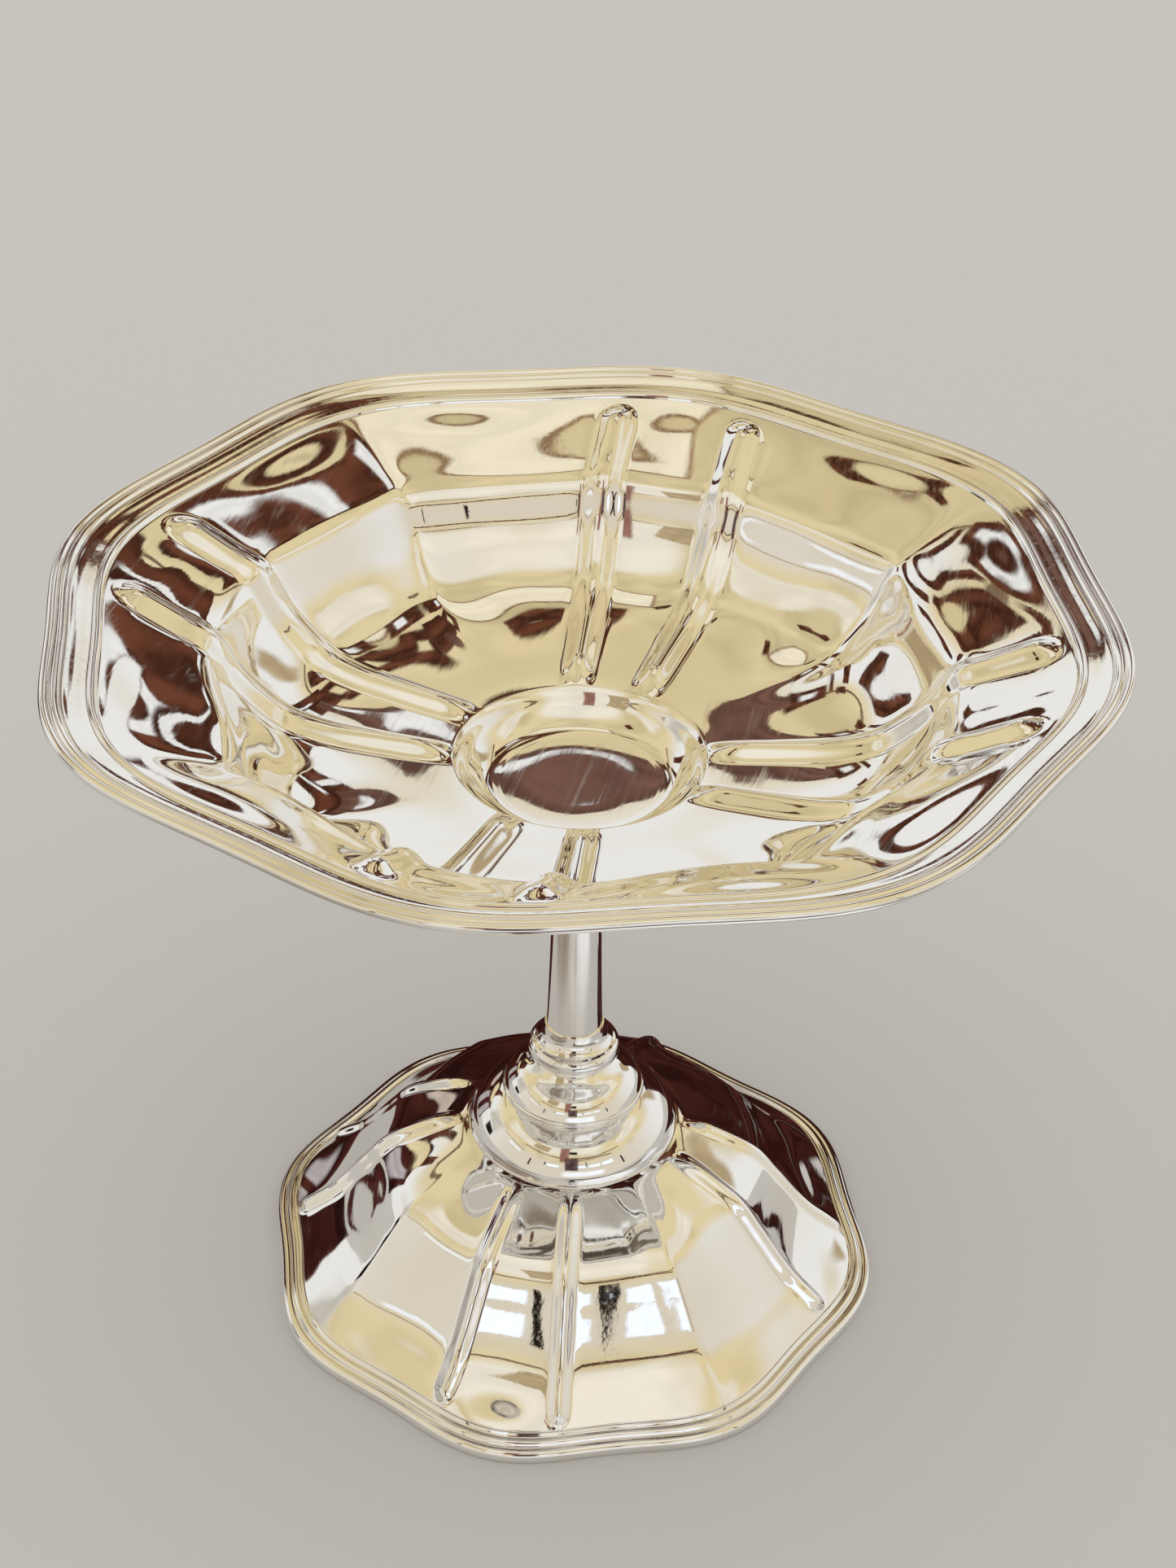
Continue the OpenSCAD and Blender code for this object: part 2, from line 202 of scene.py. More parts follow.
def dish_spec(r):
    """At radius r: swings, share of facets and of circle, ribs, end of the ribs, pillows."""
    inner = DISH_R - MOUNT_W
    c = min(max(r, WELL_R), inner)
    if c > SHOULDER_R:
        gap = RIB_GAP + (RIB_GAP_OUT - RIB_GAP) * (c - SHOULDER_R) / (RIB_END - SHOULDER_R)
    else:
        gap = RIB_GAP_IN + (RIB_GAP - RIB_GAP_IN) * (c - WELL_R) / (SHOULDER_R - WELL_R)
    wide = RIB_W * (0.75 + 0.25 * step01(WELL_R, SHOULDER_R, c))
    lift = RIB_H * step01(WELL_R - 1, WELL_R + 6, r)
    end = max(0, (r - RIB_END) / RIB_W + 1)
    puff = PUFF * step01(WELL_R + 9, WALL_R, r) * (1 - step01(inner - 7, inner - 0.5, r))
    return (SWING, PLAIN_SWING, 1 - step01(SHOULDER_R + 2, inner, c),
            1 - step01(WELL_R + 1, WALL_R - 4, c), gap / c, wide / c, lift, end, puff)


def foot_spec(r):
    """The same for the foot, which has no plain folds."""
    outer = FOOT_R - SHELL_IN
    c = min(max(r, SEAT_R), outer)
    gap = FOOT_GAP_IN + (FOOT_GAP_OUT - FOOT_GAP_IN) * (c - SEAT_R) / FOOT_GAP_RUN
    lift = FOOT_RIB_H * step01(SEAT_R + 1, SEAT_R + 6, r)
    end = max(0, (r - outer) / FOOT_RIB_W + 1)
    puff = FOOT_PUFF * step01(SEAT_R + 2, SEAT_R + 10, r) * (1 - step01(outer - 5, outer, r))
    return (FOOT_SWING, 0, 1 - step01(FOOT_R - 9, outer, c), 1 - step01(SEAT_R, SEAT_R + 7, c),
            gap / c, FOOT_RIB_W / c, lift, end, puff)


# ---- Meshes ----------------------------------------------------------------------

def mesh_object(name, grid, closed, material):
    """Rings joined in order. A closed grid is a hoop; an open one ends in flat caps."""
    m, n = len(grid), len(grid[0])
    i, j = np.meshgrid(np.arange(m if closed else m - 1), np.arange(n), indexing="ij")
    i2, j2 = (i + 1) % m, (j + 1) % n
    quads = np.stack([i * n + j, i * n + j2, i2 * n + j2, i2 * n + j], -1).reshape(-1, 4)
    faces = quads.tolist()
    if not closed:
        faces += [list(range(n - 1, -1, -1)), [(m - 1) * n + k for k in range(n)]]
    mesh = bpy.data.meshes.new(name)
    mesh.from_pydata((np.vstack(grid) * MM).tolist(), [], faces)
    mesh.validate()
    solid = bmesh.new()
    solid.from_mesh(mesh)
    if solid.calc_volume(signed=True) < 0:
        bmesh.ops.reverse_faces(solid, faces=solid.faces[:])
        solid.to_mesh(mesh)
    solid.free()
    mesh.polygons.foreach_set("use_smooth", [True] * len(mesh.polygons))
    mesh.materials.append(material)
    obj = bpy.data.objects.new(name, mesh)
    bpy.context.scene.collection.objects.link(obj)
    return obj


def fit(obj, node):
    """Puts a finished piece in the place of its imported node."""
    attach(obj, "root")
    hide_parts(node)
    return obj


def turned(name, outer, bore, node, material):
    """A turned solid from its outer line [radius, height], bottom first, and its bore."""
    line = np.vstack([outer, [[bore, outer[-1][1]], [bore, outer[0][1]]]])
    a = np.arange(TURNED) * math.tau / TURNED
    grid = [np.stack([r * np.cos(a), r * np.sin(a), np.full(TURNED, z)], 1) for r, z in line]
    obj = mesh_object(name, grid[::-1], True, material)
    obj.data.set_sharp_from_angle(angle=math.radians(35))
    return fit(obj, node)


def bulge(r, w, a, b, n=16):
    """Half-round bulge from height a to b that stands out by w from radius r."""
    t = np.linspace(0, math.pi, n + 1)
    return np.stack([r + w * np.sin(t), a + (b - a) * (1 - np.cos(t)) / 2], 1)


# ---- Materials -------------------------------------------------------------------

def metal(name, tint, tarnish, roughness, spread, grain, relief):
    """A metal surface: cloudy tarnish, fine scratches in the grain and slight waviness.

    roughness is that of the plain surface and spread is what scratches add to it. grain
    stretches the scratches along x, y and z, and relief is how deep the waves are."""
    mat = bpy.data.materials.new(name)
    mat.use_nodes = True
    nodes, links = mat.node_tree.nodes, mat.node_tree.links
    bsdf = nodes["Principled BSDF"]
    bsdf.inputs["Metallic"].default_value = 1.0
    coord = nodes.new("ShaderNodeTexCoord")

    wear = nodes.new("ShaderNodeTexNoise")
    wear.inputs["Scale"].default_value = 45
    wear.inputs["Detail"].default_value = 5
    links.new(coord.outputs["Object"], wear.inputs["Vector"])
    cloud = nodes.new("ShaderNodeMapRange")
    cloud.inputs["From Min"].default_value = 0.5
    cloud.inputs["From Max"].default_value = 0.85
    links.new(wear.outputs["Fac"], cloud.inputs["Value"])
    tone = nodes.new("ShaderNodeMix")
    tone.data_type = "RGBA"
    tone.inputs["A"].default_value = (*tint, 1)
    tone.inputs["B"].default_value = (*tarnish, 1)
    links.new(cloud.outputs["Result"], tone.inputs["Factor"])
    links.new(tone.outputs["Result"], bsdf.inputs["Base Color"])

    scratch = None
    for turn in (0.4, 1.3, 2.6):
        stretch = nodes.new("ShaderNodeMapping")
        stretch.inputs["Rotation"].default_value = (0, 0, turn)
        stretch.inputs["Scale"].default_value = grain
        hair = nodes.new("ShaderNodeTexNoise")
        hair.inputs["Scale"].default_value = 900
        hair.inputs["Detail"].default_value = 2
        links.new(coord.outputs["Object"], stretch.inputs["Vector"])
        links.new(stretch.outputs["Vector"], hair.inputs["Vector"])
        if scratch is None:
            scratch = hair.outputs["Fac"]
            continue
        both = nodes.new("ShaderNodeMath")
        both.operation = "MAXIMUM"
        links.new(scratch, both.inputs[0])
        links.new(hair.outputs["Fac"], both.inputs[1])
        scratch = both.outputs[0]
    rough = nodes.new("ShaderNodeMapRange")
    rough.inputs["From Min"].default_value = 0.55
    rough.inputs["From Max"].default_value = 0.8
    rough.inputs["To Min"].default_value = roughness
    rough.inputs["To Max"].default_value = roughness + spread
    links.new(scratch, rough.inputs["Value"])
    links.new(rough.outputs["Result"], bsdf.inputs["Roughness"])

    wave = nodes.new("ShaderNodeTexNoise")
    wave.inputs["Scale"].default_value = 55
    wave.inputs["Detail"].default_value = 2
    links.new(coord.outputs["Object"], wave.inputs["Vector"])
    waves = nodes.new("ShaderNodeBump")
    waves.inputs["Strength"].default_value = relief
    waves.inputs["Distance"].default_value = 0.002
    links.new(wave.outputs["Fac"], waves.inputs["Height"])
    lines = nodes.new("ShaderNodeBump")
    lines.inputs["Strength"].default_value = 0.04
    lines.inputs["Distance"].default_value = 0.0001
    links.new(scratch, lines.inputs["Height"])
    links.new(waves.outputs["Normal"], lines.inputs["Normal"])
    links.new(lines.outputs["Normal"], bsdf.inputs["Normal"])
    return mat


SILVER_TINT = (0.93, 0.915, 0.885)
SILVER_TARNISH = (0.88, 0.845, 0.77)
SHELL_SILVER = metal("pressed_silver", SILVER_TINT, SILVER_TARNISH, 0.03, 0.07,
                     (1, 0.03, 1), 0.05)
MOUNT_SILVER = metal("mount_silver", SILVER_TINT, (0.80, 0.75, 0.66), 0.05, 0.10,
                     (1, 1, 1), 0.04)
TURNED_SILVER = metal("turned_silver", SILVER_TINT, SILVER_TARNISH, 0.04, 0.06,
                      (0.05, 0.05, 1), 0.03)
BRASS = metal("brass", (0.72, 0.55, 0.27), (0.42, 0.29, 0.14), 0.24, 0.20, (1, 0.1, 1), 0.2)
STEEL = metal("steel", (0.55, 0.54, 0.52), (0.30, 0.24, 0.19), 0.32, 0.20, (1, 1, 0.1), 0.2)


# ---- Pieces ----------------------------------------------------------------------

def make_dish():
    line = np.vstack([[[2, WELL_Z], [7, WELL_Z]], curve(BOWL, STEPS), [DISH_EDGE]])
    nrm = normals(line)
    grid = rings(line, nrm, 0, dish_spec) + rings(line[::-1], nrm[::-1], SHEET_T, dish_spec)
    return fit(mesh_object("dish_shell", grid, False, SHELL_SILVER), "dish")


def make_rim_mount():
    line = curve([[DISH_R - u, DISH_H + z] for u, z in MOUNT], 5)
    flat = np.tile([0.0, 1.0], (len(line), 1))
    grid = rings(line, flat, 0, dish_spec)
    return fit(mesh_object("rim_moulding", grid, True, MOUNT_SILVER), "rim_mount")


def make_foot_shell():
    line = np.vstack([[[SEAT_R - 2.7, DOME_H]], curve(DOME, STEPS)])
    nrm = normals(line)
    grid = rings(line, nrm, 0, foot_spec) + rings(line[::-1], nrm[::-1], SHEET_T, foot_spec)
    return fit(mesh_object("foot_dome", grid, True, SHELL_SILVER), "foot_shell")


def make_foot_rim():
    line = curve([[FOOT_R - u, z] for u, z in FOOT_RIM], 5)
    line[:, 1] = np.maximum(line[:, 1], 0)
    flat = np.tile([0.0, 1.0], (len(line), 1))
    grid = rings(line, flat, 0, foot_spec)
    return fit(mesh_object("foot_moulding", grid, True, MOUNT_SILVER), "foot_rim")


# The pieces stacked on the tie rod, and the thread at its lower end
BOSS_Z0, BOSS_Z1 = (v.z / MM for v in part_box("dish_boss"))
CAP_Z1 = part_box("foot_cap")[1].z / MM
STEM_Z0, STEM_Z1 = (v.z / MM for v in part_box("stem"))
STEM_R = 4.3                    # at the waist of the stem
KNOP_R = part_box("stem_knop")[1].x / MM
ROD_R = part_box("tie_rod")[1].x / MM
BORE = ROD_R + 0.25             # radius of the bores that the rod runs through
STEM_BORE = BORE + 0.4          # the stem is a tube with a wider bore
ROD_CHAMFER = 0.6
THREAD_PITCH = 0.8
THREAD_DEPTH = 0.4
THREAD_LENGTH = 14
THREAD_STEPS = 260              # mesh lines along the thread
NUT_EDGE = 0.8                  # height at either end of the nut with lines for its bevel


def make_turned():
    """The cap, the knop, the stem, its collar and the boss, from the foot upwards."""
    cap = np.vstack([
        [[SEAT_R - 0.4, DOME_H], [SEAT_R, DOME_H + 0.4]],
        curve([[SEAT_R, DOME_H + 0.5], [18.2, 31.4], [17.2, 33.3], [15.4, 35.4], [13.3, 36.9],
               [12, 37.5]], 8),
        bulge(12.1, 0.5, 37.6, 38.8),
        curve([[12.2, 38.9], [11.4, 40.4], [10, 41.9], [8.2, 43.1], [6.9, CAP_Z1]], 8)])
    turned("stepped_cap", cap, BORE, "foot_cap", TURNED_SILVER)
    knop = np.vstack([
        [[6.7, CAP_Z1], [6.8, CAP_Z1 + 0.5]],
        bulge(6.9, KNOP_R - 6.9, CAP_Z1 + 0.6, CAP_Z1 + 4.2),
        curve([[6.6, CAP_Z1 + 4.4], [5.9, CAP_Z1 + 5.2], [5.4, CAP_Z1 + 6.4], [5.2, STEM_Z0]], 8)])
    turned("knop", knop, BORE, "stem_knop", TURNED_SILVER)
    rise = STEM_Z1 - STEM_Z0
    stem = curve([[STEM_R + 0.6, STEM_Z0], [STEM_R + 0.4, STEM_Z0 + 0.12 * rise],
                  [STEM_R + 0.1, STEM_Z0 + 0.4 * rise], [STEM_R, STEM_Z0 + 0.62 * rise],
                  [STEM_R + 0.4, STEM_Z0 + 0.8 * rise], [STEM_R + 1.5, STEM_Z0 + 0.93 * rise],
                  [STEM_R + 2.9, STEM_Z1]], 16)
    turned("tube_stem", stem, STEM_BORE, "stem", TURNED_SILVER)
    collar = np.vstack([[[STEM_R + 3, STEM_Z1]],
                        bulge(STEM_R + 3, 1.3, STEM_Z1 + 0.3, BOSS_Z0 - 0.6),
                        [[STEM_R + 3.2, BOSS_Z0]]])
    turned("collar", collar, BORE, "stem_collar", TURNED_SILVER)
    boss = [[STEM_R + 6.6, BOSS_Z0], [STEM_R + 7, BOSS_Z0 + 0.4], [STEM_R + 7, BOSS_Z1]]
    turned("boss", boss, ROD_R, "dish_boss", TURNED_SILVER)


def make_fixing():
    """The tie rod with its thread, and the washer and nut that hold it under the foot."""
    low, high = (v.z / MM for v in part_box("foot_washer"))
    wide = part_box("foot_washer")[1].x / MM
    turned("washer", bulge(wide - 0.3, 0.3, low, high, 8), BORE, "foot_washer", BRASS)

    low, high = (v.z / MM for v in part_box("tie_rod"))
    a = np.arange(TURNED) * math.tau / TURNED
    grid = []
    thread_end = low + THREAD_LENGTH
    for z in [*np.linspace(low, thread_end, THREAD_STEPS),
              *np.linspace(thread_end + 0.1, high - ROD_CHAMFER, 12), high]:
        turns = (z - low) / THREAD_PITCH - a / math.tau
        tooth = np.abs((turns % 1) * 2 - 1)
        cut = THREAD_DEPTH * tooth * float(z < thread_end)
        chamfer = max(0.0, low + ROD_CHAMFER - z, z - high + ROD_CHAMFER)
        r = np.maximum(ROD_R - cut - chamfer, ROD_R - 1)
        grid.append(np.stack([r * np.cos(a), r * np.sin(a), np.full(TURNED, z)], 1))
    fit(mesh_object("threaded_rod", grid[::-1], False, STEEL), "tie_rod")

    low, high = (v.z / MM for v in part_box("tie_nut"))
    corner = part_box("tie_nut")[1]
    flat = min(corner.x, corner.y) / MM
    side = flat / np.cos((a + math.pi / 6) % (math.pi / 3) - math.pi / 6)
    if corner.x > corner.y:
        side = np.roll(side, TURNED // 12)
    heights = np.concatenate([np.linspace(low, low + NUT_EDGE, 9),
                              np.linspace(high - NUT_EDGE, high, 9)])
    outer = []
    for z in heights:
        cone = flat + 0.1 + 1.6 * min(z - low, high - z)
        r = np.minimum(side, cone)
        outer.append(np.stack([r * np.cos(a), r * np.sin(a), np.full(TURNED, z)], 1))
    bore = [np.stack([ROD_R * np.cos(a), ROD_R * np.sin(a), np.full(TURNED, z)], 1)
            for z in (high, low)]
    nut = mesh_object("hex_nut", (outer + bore)[::-1], True, BRASS)
    nut.data.set_sharp_from_angle(angle=math.radians(25))
    fit(nut, "tie_nut")


make_dish()
make_rim_mount()
make_foot_shell()
make_foot_rim()
make_turned()
make_fixing()


# ---- Studio ----------------------------------------------------------------------

CAMERA_TURN = 13.65             # degrees that the camera stands to the right of the front
HEADING = math.radians(90 + CAMERA_TURN)    # the way it looks, as an angle in the plan
CREAM = (0.78, 0.66, 0.40)
OLIVE = (0.62, 0.52, 0.30)
WHITE = (0.86, 0.86, 0.85)
PALE = (0.72, 0.66, 0.55)
GREY = (0.60, 0.57, 0.51)
TAN = (0.48, 0.37, 0.22)
BROWN = (0.10, 0.034, 0.018)
UMBER = (0.15, 0.075, 0.055)
DARK = (0.012, 0.006, 0.004)
MAHOGANY = (0.050, 0.013, 0.010)
BRIGHT = (1.05, 1.15, 1.35)
WALL_TOP = (24, 38)             # degrees up where the white walls turn into the cream ceiling
CORNICE = (37, 0.010)           # degrees up and half thickness of the line between them
CORNICE_COLOUR = (0.20, 0.13, 0.08)
CORNICE_REACH = 0.4             # least cosine, ahead or behind, at which it is drawn
CLOUDY = 0.6                    # largest share by which a card's light varies up and down
CLOUD_LIGHT = 0.05              # and the most light by which it does

# What the silver mirrors: [name, degrees right of the camera's heading, degrees up,
# distance, width and height in metres, colour, share of each edge that is soft]
CARDS = [
    ["shade_high", -10, 62, 2.0, 2.2, 0.5, OLIVE, 0.6],
    ["lamp_edge", 16, 70, 1.9, 1.10, 0.62, (0.30, 0.19, 0.10), 0.10],
    ["lamp", 16, 70, 1.88, 1.01, 0.53, (0.90, 0.82, 0.63), 0.10],
    ["column", 16, 24, 1.8, 0.42, 1.3, BROWN, 0.08],
    ["column_light", 17, 22, 1.75, 0.05, 0.7, WHITE, 0.3],
    ["column_gap", 12, 25, 1.74, 0.20, 0.16, WHITE, 0.4],
    ["column_gap_low", 14, 11, 1.74, 0.15, 0.10, WHITE, 0.4],
    ["capital", 13, 50, 1.75, 0.42, 0.52, BROWN, 0.2],
    ["capital_light", 13, 48, 1.7, 0.16, 0.22, CREAM, 0.5],
    ["frame_right", 36, 50, 1.7, 0.38, 0.62, BROWN, 0.1],
    ["glass_right", 36, 53, 1.6, 0.22, 0.24, WHITE, 0.4],
    ["shade_right", 45, 22, 1.8, 0.35, 0.9, TAN, 0.6],
    ["ring_left", -13, 35, 1.7, 0.32, 0.32, BROWN, 0.2],
    ["ring_glass", -13, 35, 1.65, 0.15, 0.15, WHITE, 0.6],
    ["spot_left", -28, 37, 1.7, 0.20, 0.16, BROWN, 0.3],
    ["spot_high", -20, 57, 1.7, 0.26, 0.11, BROWN, 0.4],
    ["stripe_left", -21, 30, 1.6, 0.06, 0.40, BROWN, 0.2],
    ["box_left", -13, 15, 1.3, 0.12, 0.18, BROWN, 0.2],
    ["post_left", -31, 22, 1.3, 0.12, 0.52, BROWN, 0.15],
    ["post_far_left", -46, 22, 1.3, 0.14, 0.36, BROWN, 0.2],
    ["bar_low", -5, 9, 1.6, 0.42, 0.13, BROWN, 0.2],
    ["rail", 3, 35, 1.65, 0.56, 0.18, UMBER, 0.08],
    ["rail_glass", 4, 36, 1.6, 0.22, 0.05, WHITE, 0.3],
    ["low_far_left", -78, 5, 1.5, 0.36, 0.26, DARK, 0.3],
    ["shade_left", -75, 20, 1.8, 0.9, 0.7, GREY, 0.5],
    ["dado_left", -108, 27, 1.7, 1.0, 0.035, TAN, 0.2],
    ["dado_left_light", -112, 23, 1.7, 0.6, 0.10, (0.94, 0.96, 1.0), 0.4],
    ["spot_back_left", -96, 61, 1.7, 0.22, 0.16, BROWN, 0.3],
    ["cove_left", -107, 45, 1.9, 1.6, 0.45, (0.84, 0.78, 0.65), 0.4],
    ["cove_right", 92, 45, 1.9, 1.5, 0.45, (0.84, 0.78, 0.65), 0.4],
    ["slat_left_a", -50, -29, 0.15, 0.016, 0.07, (0.46, 0.42, 0.43), 0.4],
    ["slat_left_b", -61, -29, 0.15, 0.016, 0.07, (0.46, 0.42, 0.43), 0.4],
    ["pill_left", -38, -24, 0.14, 0.030, 0.016, (0.55, 0.46, 0.40), 0.4],
    ["pill_left_high", -50, -12, 0.15, 0.050, 0.018, CREAM, 0.4],
    ["mullion_b", 125, 14, 1.7, 0.06, 0.5, DARK, 0.1],
    ["mullion_c", -135, 14, 1.7, 0.06, 0.5, BROWN, 0.1],
    ["ceiling_back", 180, 57, 2.0, 2.6, 1.5, (0.88, 0.83, 0.71), 0.4],
    ["window_back_a", 141, 21.0, 1.8, 0.36, 0.19, BRIGHT, 0.12],
    ["window_back_b", 155.5, 21.0, 1.8, 0.38, 0.19, BRIGHT, 0.12],
    ["window_back_c", 170, 21.0, 1.8, 0.34, 0.19, BRIGHT, 0.12],
    ["window_back_d", -160, 21.0, 1.8, 0.40, 0.19, BRIGHT, 0.12],
    ["post_back_left", -151, 22, 1.7, 0.05, 0.20, DARK, 0.3],
    ["post_back_right", 164, 25, 1.7, 0.04, 0.30, DARK, 0.3],
    ["daylight_back", 168, 5, 1.9, 1.7, 0.30, (1.0, 1.04, 1.12), 0.3],
    ["frame_back", 155, 33, 1.85, 1.3, 0.04, BROWN, 0.1],
    ["curtain_back", -171, 42, 1.7, 0.30, 0.9, (0.32, 0.16, 0.12), 0.3],
    ["picture_back", -140, 44, 1.7, 0.50, 0.34, TAN, 0.1],
    ["figure", 180, 22, 0.95, 0.26, 0.46, (0.11, 0.07, 0.065), 0.3],
    ["phone", 178, 38, 0.52, 0.075, 0.05, DARK, 0.1],
]

# Light and shade lying on the floor: [name, degrees right, distance, width, depth, colour,
# share of each edge that is soft]
FLOOR_LIGHTS = [
    ["glare_right", 150, 0.17, 0.15, 0.20, (0.95, 0.97, 1.0), 0.4],
    ["glare_far_right", 100, 0.26, 0.10, 0.22, (0.85, 0.86, 0.88), 0.4],
    ["shade_mid", 179, 0.20, 0.022, 0.26, (0.05, 0.045, 0.04), 0.4],
    ["shade_left", -120, 0.15, 0.16, 0.16, (0.30, 0.25, 0.20), 0.4],
    ["shade_back_right", 46, 0.068, 0.07, 0.05, MAHOGANY, 0.1],
    ["shade_back", 2, 0.090, 0.31, 0.08, MAHOGANY, 0.06],
    ["shade_front_right", 125, 0.40, 0.34, 0.30, (0.20, 0.17, 0.13), 0.3],
    ["shade_front", 165, 0.42, 0.30, 0.36, (0.13, 0.11, 0.085), 0.3],
    ["shade_front_left", -131, 0.50, 0.34, 0.30, (0.13, 0.11, 0.085), 0.3],
    ["sheen_front", 170, 0.10, 0.14, 0.06, (0.62, 0.58, 0.52), 0.4],
]

# Dark furniture behind the object: how far ahead, to the left and up, width and height
FURNITURE = (0.13, 0.06, 0.055, 0.38, 0.115)
FLOOR_SIZE = 40.0               # from the middle of the floor to its edges


def emission(name, colour, soft):
    """Slightly cloudy light that fades out towards the edges of the card."""
    mat = bpy.data.materials.new(name)
    mat.use_nodes = True
    nodes, links = mat.node_tree.nodes, mat.node_tree.links
    nodes.clear()
    out = nodes.new("ShaderNodeOutputMaterial")
    light = nodes.new("ShaderNodeEmission")
    clear = nodes.new("ShaderNodeBsdfTransparent")
    mix = nodes.new("ShaderNodeMixShader")
    coord = nodes.new("ShaderNodeTexCoord")
    cloud = nodes.new("ShaderNodeTexNoise")
    cloud.inputs["Scale"].default_value = 3
    cloud.inputs["Detail"].default_value = 2
    uneven = nodes.new("ShaderNodeMapRange")
    uneven.inputs["From Min"].default_value = 0.35
    uneven.inputs["From Max"].default_value = 0.65
    tone = nodes.new("ShaderNodeMix")
    tone.data_type = "RGBA"
    share = min(CLOUDY, CLOUD_LIGHT / max(colour))
    tone.inputs["A"].default_value = (*[c * (1 - share) for c in colour], 1)
    tone.inputs["B"].default_value = (*[c * (1 + share) for c in colour], 1)
    links.new(coord.outputs["Generated"], cloud.inputs["Vector"])
    links.new(cloud.outputs["Fac"], uneven.inputs["Value"])
    links.new(uneven.outputs["Result"], tone.inputs["Factor"])
    links.new(tone.outputs["Result"], light.inputs["Color"])
    split = nodes.new("ShaderNodeSeparateXYZ")
    links.new(coord.outputs["Generated"], split.inputs["Vector"])
    cover = nodes.new("ShaderNodeMath")
    cover.operation = "MULTIPLY"
    for i, axis in enumerate("XY"):
        centred = nodes.new("ShaderNodeMath")
        centred.operation = "PINGPONG"
        centred.inputs[1].default_value = 0.5
        fade = nodes.new("ShaderNodeMapRange")
        fade.interpolation_type = "SMOOTHSTEP"
        fade.inputs["From Max"].default_value = max(soft, 0.01) / 2
        links.new(split.outputs[axis], centred.inputs[0])
        links.new(centred.outputs[0], fade.inputs["Value"])
        links.new(fade.outputs["Result"], cover.inputs[i])
    links.new(cover.outputs[0], mix.inputs["Fac"])
    links.new(clear.outputs[0], mix.inputs[1])
    links.new(light.outputs[0], mix.inputs[2])
    links.new(mix.outputs[0], out.inputs["Surface"])
    return mat


def studio_card(name, place, facing, width, height, colour, soft):
    """A card that only reflections see, so that it hides nothing from the camera."""
    mesh = bpy.data.meshes.new(name)
    mesh.from_pydata([(-width / 2, -height / 2, 0), (width / 2, -height / 2, 0),
                      (width / 2, height / 2, 0), (-width / 2, height / 2, 0)],
                     [], [(0, 1, 2, 3)])
    mesh.materials.append(emission(name, colour, soft))
    obj = bpy.data.objects.new(name, mesh)
    obj.matrix_world = (Matrix.Translation(place)
                        @ (facing - place).to_track_quat("Z", "Y").to_matrix().to_4x4())
    obj.visible_camera = False
    obj.visible_diffuse = False
    obj.visible_shadow = False
    bpy.context.scene.collection.objects.link(obj)
    return obj


def studio_cards():
    """The cards stand around the dish, the floor lights lie around the foot."""
    centre = Vector((0, 0, DISH_H * MM * 0.8))
    for name, right, up, far, width, height, colour, soft in CARDS:
        a, e = HEADING - math.radians(right), math.radians(up)
        ray = Vector((math.cos(a) * math.cos(e), math.sin(a) * math.cos(e), math.sin(e)))
        studio_card(name, centre + far * ray, centre, width, height, colour, soft)
    for name, right, far, width, depth, colour, soft in FLOOR_LIGHTS:
        a = HEADING - math.radians(right)
        place = far * Vector((math.cos(a), math.sin(a), 0)) + Vector((0, 0, 0.0005))
        card = studio_card(name, place, place + Vector((0, 0, 1)), depth, width, colour, soft)
        card.matrix_world = Matrix.Translation(place) @ Matrix.Rotation(a, 4, "Z")
    ahead = Vector((math.cos(HEADING), math.sin(HEADING), 0))
    left = Vector((-math.sin(HEADING), math.cos(HEADING), 0))
    far, aside, up, width, height = FURNITURE
    place = ahead * far + left * aside + Vector((0, 0, up))
    studio_card("furniture", place, place - ahead, width, height, MAHOGANY, 0.04)


def studio_floor():
    """A plain pale matt floor."""
    size = FLOOR_SIZE
    mesh = bpy.data.meshes.new("floor")
    mesh.from_pydata([(-size, -size, 0), (size, -size, 0), (size, size, 0), (-size, size, 0)],
                     [], [(0, 1, 2, 3)])
    mat = bpy.data.materials.new("floor")
    mat.use_nodes = True
    bsdf = mat.node_tree.nodes["Principled BSDF"]
    bsdf.inputs["Base Color"].default_value = (0.66, 0.64, 0.61, 1)
    bsdf.inputs["Specular IOR Level"].default_value = 0
    mesh.materials.append(mat)
    obj = bpy.data.objects.new("floor", mesh)
    bpy.context.scene.collection.objects.link(obj)


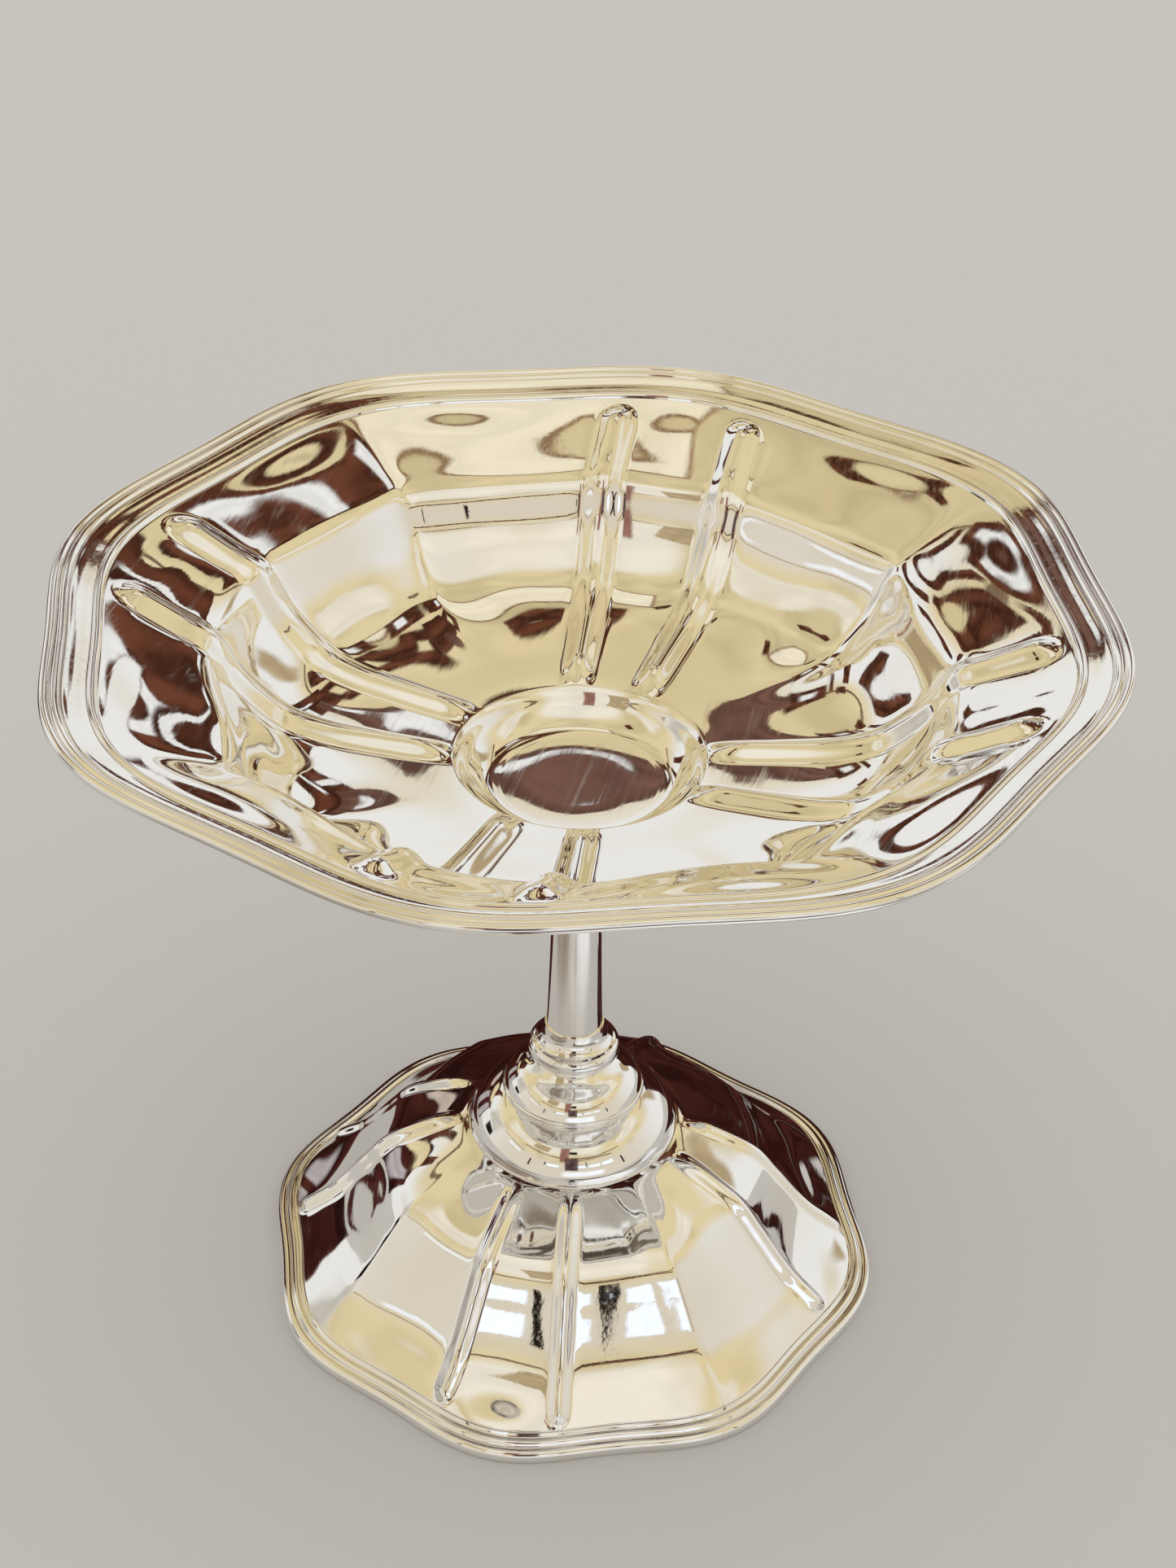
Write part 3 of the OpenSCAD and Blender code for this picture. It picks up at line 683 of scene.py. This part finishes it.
def studio_world():
    """Even soft light: warm where the silver mirrors it, neutral for everything else."""
    world = bpy.data.worlds.new("studio")
    bpy.context.scene.world = world
    world.use_nodes = True
    nodes, links = world.node_tree.nodes, world.node_tree.links
    back = nodes["Background"]
    path = nodes.new("ShaderNodeLightPath")
    mix = nodes.new("ShaderNodeMix")
    mix.data_type = "RGBA"
    mix.inputs["A"].default_value = (0.86, 0.85, 0.83, 1)
    links.new(path.outputs["Is Glossy Ray"], mix.inputs["Factor"])
    links.new(mix.outputs["Result"], back.inputs["Color"])
    coord = nodes.new("ShaderNodeTexCoord")
    split = nodes.new("ShaderNodeSeparateXYZ")
    links.new(coord.outputs["Generated"], split.inputs["Vector"])
    rise = nodes.new("ShaderNodeMapRange")
    rise.interpolation_type = "SMOOTHSTEP"
    rise.inputs["From Min"].default_value = math.sin(math.radians(WALL_TOP[0]))
    rise.inputs["From Max"].default_value = math.sin(math.radians(WALL_TOP[1]))
    links.new(split.outputs["Z"], rise.inputs["Value"])
    cloud = nodes.new("ShaderNodeTexNoise")
    cloud.inputs["Scale"].default_value = 3.5
    cloud.inputs["Detail"].default_value = 1
    links.new(coord.outputs["Generated"], cloud.inputs["Vector"])
    ceiling = nodes.new("ShaderNodeMix")
    ceiling.data_type = "RGBA"
    ceiling.inputs["A"].default_value = (*CREAM, 1)
    ceiling.inputs["B"].default_value = (*OLIVE, 1)
    shade = nodes.new("ShaderNodeMapRange")
    shade.inputs["From Min"].default_value = 0.42
    shade.inputs["From Max"].default_value = 0.68
    links.new(cloud.outputs["Fac"], shade.inputs["Value"])
    links.new(shade.outputs["Result"], ceiling.inputs["Factor"])
    ahead = nodes.new("ShaderNodeVectorMath")
    ahead.operation = "DOT_PRODUCT"
    ahead.inputs[1].default_value = (math.cos(HEADING), math.sin(HEADING), 0)
    links.new(coord.outputs["Generated"], ahead.inputs[0])
    depth = nodes.new("ShaderNodeMapRange")
    depth.interpolation_type = "SMOOTHSTEP"
    depth.inputs["From Min"].default_value = -0.5
    depth.inputs["From Max"].default_value = 0.6
    links.new(ahead.outputs["Value"], depth.inputs["Value"])
    walls = nodes.new("ShaderNodeMix")
    walls.data_type = "RGBA"
    walls.inputs["A"].default_value = (*PALE, 1)
    walls.inputs["B"].default_value = (*WHITE, 1)
    links.new(depth.outputs["Result"], walls.inputs["Factor"])
    room = nodes.new("ShaderNodeMix")
    room.data_type = "RGBA"
    links.new(walls.outputs["Result"], room.inputs["A"])
    links.new(ceiling.outputs["Result"], room.inputs["B"])
    links.new(rise.outputs["Result"], room.inputs["Factor"])
    cornice = nodes.new("ShaderNodeMath")
    cornice.operation = "COMPARE"
    cornice.inputs[1].default_value = math.sin(math.radians(CORNICE[0]))
    cornice.inputs[2].default_value = CORNICE[1]
    links.new(split.outputs["Z"], cornice.inputs[0])
    facing = nodes.new("ShaderNodeMath")
    facing.operation = "ABSOLUTE"
    links.new(ahead.outputs["Value"], facing.inputs[0])
    walled = nodes.new("ShaderNodeMath")
    walled.operation = "GREATER_THAN"
    walled.inputs[1].default_value = CORNICE_REACH
    links.new(facing.outputs[0], walled.inputs[0])
    drawn = nodes.new("ShaderNodeMath")
    drawn.operation = "MULTIPLY"
    links.new(cornice.outputs[0], drawn.inputs[0])
    links.new(walled.outputs[0], drawn.inputs[1])
    line = nodes.new("ShaderNodeMix")
    line.data_type = "RGBA"
    line.inputs["B"].default_value = (*CORNICE_COLOUR, 1)
    links.new(drawn.outputs[0], line.inputs["Factor"])
    links.new(room.outputs["Result"], line.inputs["A"])
    links.new(line.outputs["Result"], mix.inputs["B"])


def camera():
    """The camera stands in front of the dish, a little to its right, and looks down."""
    azimuth, reach, height = math.radians(CAMERA_TURN), 0.3547, 0.3473
    pitch, roll, pan = math.radians(34.62), math.radians(1.30), math.radians(0.23)
    turn = Matrix.Rotation(azimuth, 3, "Z")
    ahead = Vector((math.sin(pan) * math.cos(pitch), math.cos(pan) * math.cos(pitch),
                    -math.sin(pitch)))
    right = Vector((math.cos(pan), -math.sin(pan), 0))
    up = right.cross(ahead)
    right, up = (math.cos(roll) * right + math.sin(roll) * up,
                 -math.sin(roll) * right + math.cos(roll) * up)
    cam = bpy.data.objects.new("camera", bpy.data.cameras.new("camera"))
    cam.data.lens = 60.1
    cam.data.sensor_width = 36
    cam.data.clip_start = 0.01
    axes = Matrix((turn @ right, turn @ up, turn @ -ahead)).transposed()
    cam.matrix_world = Matrix.Translation(turn @ Vector((0, -reach, height))) @ axes.to_4x4()
    bpy.context.scene.collection.objects.link(cam)
    bpy.context.scene.camera = cam


studio_floor()
studio_world()
studio_cards()
camera()
bpy.context.scene.view_settings.view_transform = "Standard"
